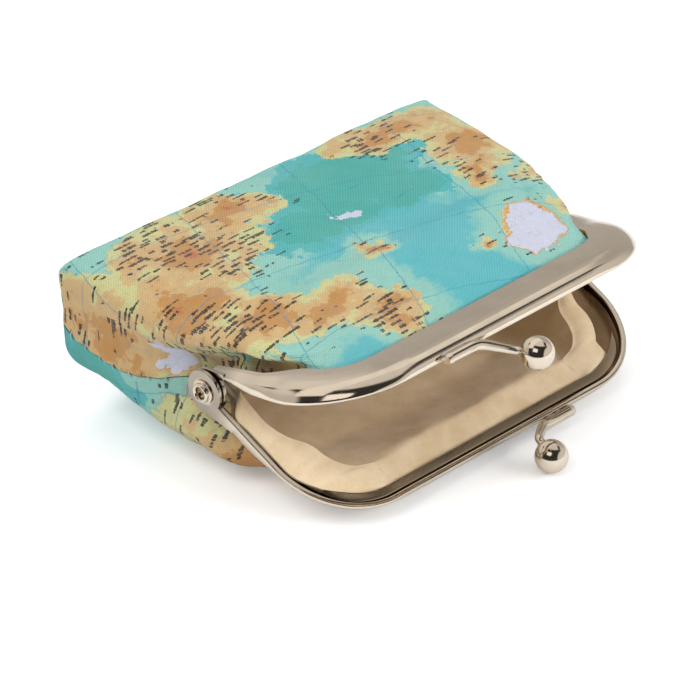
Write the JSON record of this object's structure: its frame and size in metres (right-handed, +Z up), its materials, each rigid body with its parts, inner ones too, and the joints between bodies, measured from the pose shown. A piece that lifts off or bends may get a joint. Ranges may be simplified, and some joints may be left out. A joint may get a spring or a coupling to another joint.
{
  "type": "kiss-lock coin purse",
  "caption": "Small coin purse with a hinged kiss-lock frame, printed canvas outside and a brushed lining, lying open.",
  "frame": {"origin": "centre of the bounding box at its base, on the surface the purse lies on", "axes": "+X along the hinge, from the left rivet to the right one as seen from the mouth; -Y out of the open mouth; +Z up"},
  "size_m": [0.0864, 0.0752, 0.0312],
  "materials": {
    "nickel_plate": "polished nickel plate on pressed steel",
    "printed_canvas": "plain-weave canvas with a printed relief-map pattern in teal, tan and yellow",
    "fleece": "soft needled padding",
    "brushed_lining": "brushed, suede-like cream cloth"
  },
  "bodies": {
    "lower_half": {"lower_frame": "nickel_plate", "lower_strip": "nickel_plate", "lower_clasp_stem": "nickel_plate", "lower_clasp_ball": "nickel_plate", "left_rivet": "nickel_plate", "right_rivet": "nickel_plate", "lower_canvas": "printed_canvas", "lower_padding": "fleece", "lower_lining": "brushed_lining"},
    "upper_half": {"upper_frame": "nickel_plate", "upper_strip": "nickel_plate", "upper_clasp_stem": "nickel_plate", "upper_clasp_ball": "nickel_plate", "upper_canvas": "printed_canvas", "upper_padding": "fleece", "upper_lining": "brushed_lining"}
  },
  "joints": [
    {"name": "frame_hinge", "type": "hinge", "parent": "lower_half", "child": "upper_half", "pos_m": [0, 0.00585, 0.01748], "axis": [-1, 0, 0], "range_deg": [-40.5, 55], "deforming": ["upper_canvas", "upper_padding", "upper_lining"]}
  ]
}
